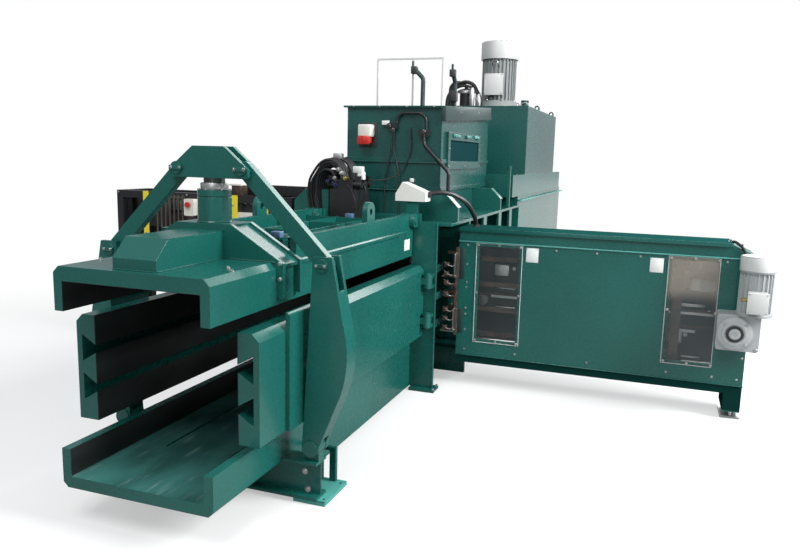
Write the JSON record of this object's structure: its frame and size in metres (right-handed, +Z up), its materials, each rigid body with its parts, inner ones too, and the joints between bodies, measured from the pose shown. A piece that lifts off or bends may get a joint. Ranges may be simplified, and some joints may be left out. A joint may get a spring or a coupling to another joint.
{
  "type": "recycling baler",
  "caption": "Horizontal channel baler with squeezing doors, hinged top channel, hopper, ram and a side needle cabinet that ties the bales with wire.",
  "frame": {"origin": "centre of the front anchor bolt holes, on the floor under the squeeze frame", "axes": "+Y back along the bale's path to the power unit, +X to the needle cabinet, +Z up"},
  "size_m": [5.095, 8.03, 2.84],
  "materials": {
    "paint_green": "satin machine enamel",
    "paint_grey": "light grey enamel on cast housings",
    "paint_black": "black enamel",
    "paint_yellow": "yellow and grey guards",
    "bright_steel": "ground steel",
    "hard_chrome": "hard chrome rods",
    "worn_iron": "worn and lightly rusted",
    "clear_pane": "clear safety pane",
    "black_rubber": "hose rubber",
    "white_plastic": "cream plastic",
    "red_plastic": "red push button"
  },
  "bodies": {
    "frame": {"bottom_channel": "paint_green", "front_cross_beam": "paint_green", "front_feet": "paint_green", "tying_frame_front": "paint_green", "tying_frame_rear": "paint_green", "tying_frame_bars": "paint_green", "wire_guides": "worn_iron", "pivot_pins": "bright_steel", "press_chamber": "paint_green", "chamber_frames": "paint_green", "chamber_saddles": "paint_green", "hopper": "paint_green", "hopper_window": "clear_pane", "power_inlet": "white_plastic", "hopper_cables": "black_rubber", "guard_frame": "paint_grey", "sensor_posts": "paint_green", "rear_body": "paint_green", "main_cylinder": "paint_green", "oil_tank": "paint_green", "pump_motor": "paint_grey", "valve_block": "paint_black", "valve_coils": "paint_black", "hydraulic_hoses": "black_rubber", "junction_box": "white_plastic", "cabinet_conduit": "black_rubber", "needle_cabinet": "paint_green", "cabinet_front_panel": "paint_green", "cabinet_windows": "clear_pane", "carriage_rails": "bright_steel", "cabinet_foot": "bright_steel", "drive_chain": "bright_steel", "gearbox": "paint_grey", "gear_motor": "paint_grey", "twister_frame": "paint_black", "twister_guards": "paint_yellow", "twister_block": "paint_black", "e_stop_box": "white_plastic"},
    "top_channel": {"top_channel": "paint_green", "squeeze_saddle": "paint_green", "squeeze_cylinder": "paint_green"},
    "yoke": {"yoke": "paint_green", "yoke_pins": "bright_steel", "squeeze_rod": "hard_chrome"},
    "arm_right": {"arm_right": "paint_green"},
    "arm_left": {"arm_left": "paint_green"},
    "lever_right": {"lever_right": "paint_green"},
    "lever_left": {"lever_left": "paint_green"},
    "side_door_right": {"side_door_right": "paint_green"},
    "side_door_left": {"side_door_left": "paint_green"},
    "ram": {"ram": "bright_steel", "ram_rod": "hard_chrome"},
    "needle_carriage": {"needle_carriage": "bright_steel"},
    "drive_sprocket": {"drive_sprocket": "bright_steel"},
    "idler_sprocket": {"idler_sprocket": "bright_steel"},
    "twister_hook_1": {"twister_hook_1": "bright_steel"},
    "twister_hook_2": {"twister_hook_2": "bright_steel"},
    "twister_hook_3": {"twister_hook_3": "bright_steel"},
    "twister_hook_4": {"twister_hook_4": "bright_steel"},
    "e_stop_button": {"e_stop_button": "red_plastic"}
  },
  "joints": [
    {"name": "top_squeeze", "type": "hinge", "parent": "frame", "child": "top_channel", "pos_m": [0, 1.7, 1.215], "axis": [1, 0, 0], "range_deg": [0, 1]},
    {"name": "yoke_slide", "type": "slide", "parent": "top_channel", "child": "yoke", "axis": [0, 0, 1], "range_m": [0, 0.0633]},
    {"name": "arm_right_swing", "type": "hinge", "parent": "yoke", "child": "arm_right", "pos_m": [0.174, -0.08, 1.572], "axis": [0, 1, 0], "range_deg": [0, 4.35]},
    {"name": "arm_left_swing", "type": "hinge", "parent": "yoke", "child": "arm_left", "pos_m": [-0.174, -0.08, 1.572], "axis": [0, -1, 0], "range_deg": [0, 4.35]},
    {"name": "lever_right_swing", "type": "hinge", "parent": "frame", "child": "lever_right", "pos_m": [0.54, -0.08, 0.28], "axis": [0, -1, 0], "range_deg": [0, 2.14]},
    {"name": "lever_left_swing", "type": "hinge", "parent": "frame", "child": "lever_left", "pos_m": [-0.54, -0.08, 0.28], "axis": [0, 1, 0], "range_deg": [0, 2.14]},
    {"name": "door_right_squeeze", "type": "hinge", "parent": "frame", "child": "side_door_right", "pos_m": [0.52, 1.705, 0.66], "axis": [0, 0, -1], "range_deg": [0, 0.471]},
    {"name": "door_left_squeeze", "type": "hinge", "parent": "frame", "child": "side_door_left", "pos_m": [-0.52, 1.705, 0.66], "axis": [0, 0, 1], "range_deg": [0, 0.471]},
    {"name": "ram_stroke", "type": "slide", "parent": "frame", "child": "ram", "axis": [0, -1, 0], "range_m": [0, 1.74]},
    {"name": "needle_stroke", "type": "slide", "parent": "frame", "child": "needle_carriage", "axis": [-1, 0, 0], "range_m": [0, 1.29]},
    {"name": "drive_spin", "type": "hinge", "parent": "frame", "child": "drive_sprocket", "pos_m": [2.495, 2.18, 0.612], "axis": [0, -1, 0], "range_deg": [0, 1408.8]},
    {"name": "idler_spin", "type": "hinge", "parent": "frame", "child": "idler_sprocket", "pos_m": [0.8, 2.18, 0.612], "axis": [0, -1, 0], "range_deg": [0, 1408.8]},
    {"name": "twist_1", "type": "hinge", "parent": "frame", "child": "twister_hook_1", "pos_m": [-0.5, 2.155, 0.377], "axis": [1, 0, 0], "continuous": true},
    {"name": "twist_2", "type": "hinge", "parent": "frame", "child": "twister_hook_2", "pos_m": [-0.5, 2.155, 0.562], "axis": [1, 0, 0], "continuous": true},
    {"name": "twist_3", "type": "hinge", "parent": "frame", "child": "twister_hook_3", "pos_m": [-0.5, 2.155, 0.746], "axis": [1, 0, 0], "continuous": true},
    {"name": "twist_4", "type": "hinge", "parent": "frame", "child": "twister_hook_4", "pos_m": [-0.5, 2.155, 0.935], "axis": [1, 0, 0], "continuous": true},
    {"name": "stop_press", "type": "slide", "parent": "frame", "child": "e_stop_button", "axis": [0, 1, 0], "range_m": [0, 0.005], "stiffness_N_per_m": 800}
  ],
  "couplings": [
    {"joint": "yoke_slide", "follows": "top_squeeze", "m_per_rad": 3.6},
    {"joint": "arm_right_swing", "follows": "top_squeeze", "ratio": 4.3273},
    {"joint": "arm_left_swing", "follows": "top_squeeze", "ratio": 4.3273},
    {"joint": "lever_right_swing", "follows": "top_squeeze", "ratio": 2.1241},
    {"joint": "lever_left_swing", "follows": "top_squeeze", "ratio": 2.1241},
    {"joint": "door_right_squeeze", "follows": "top_squeeze", "ratio": 0.4612},
    {"joint": "door_left_squeeze", "follows": "top_squeeze", "ratio": 0.4612},
    {"joint": "drive_spin", "follows": "needle_stroke", "rad_per_m": 19.048},
    {"joint": "idler_spin", "follows": "needle_stroke", "rad_per_m": 19.048},
    {"joint": "twist_2", "follows": "twist_1", "ratio": 1},
    {"joint": "twist_3", "follows": "twist_1", "ratio": 1},
    {"joint": "twist_4", "follows": "twist_1", "ratio": 1}
  ]
}
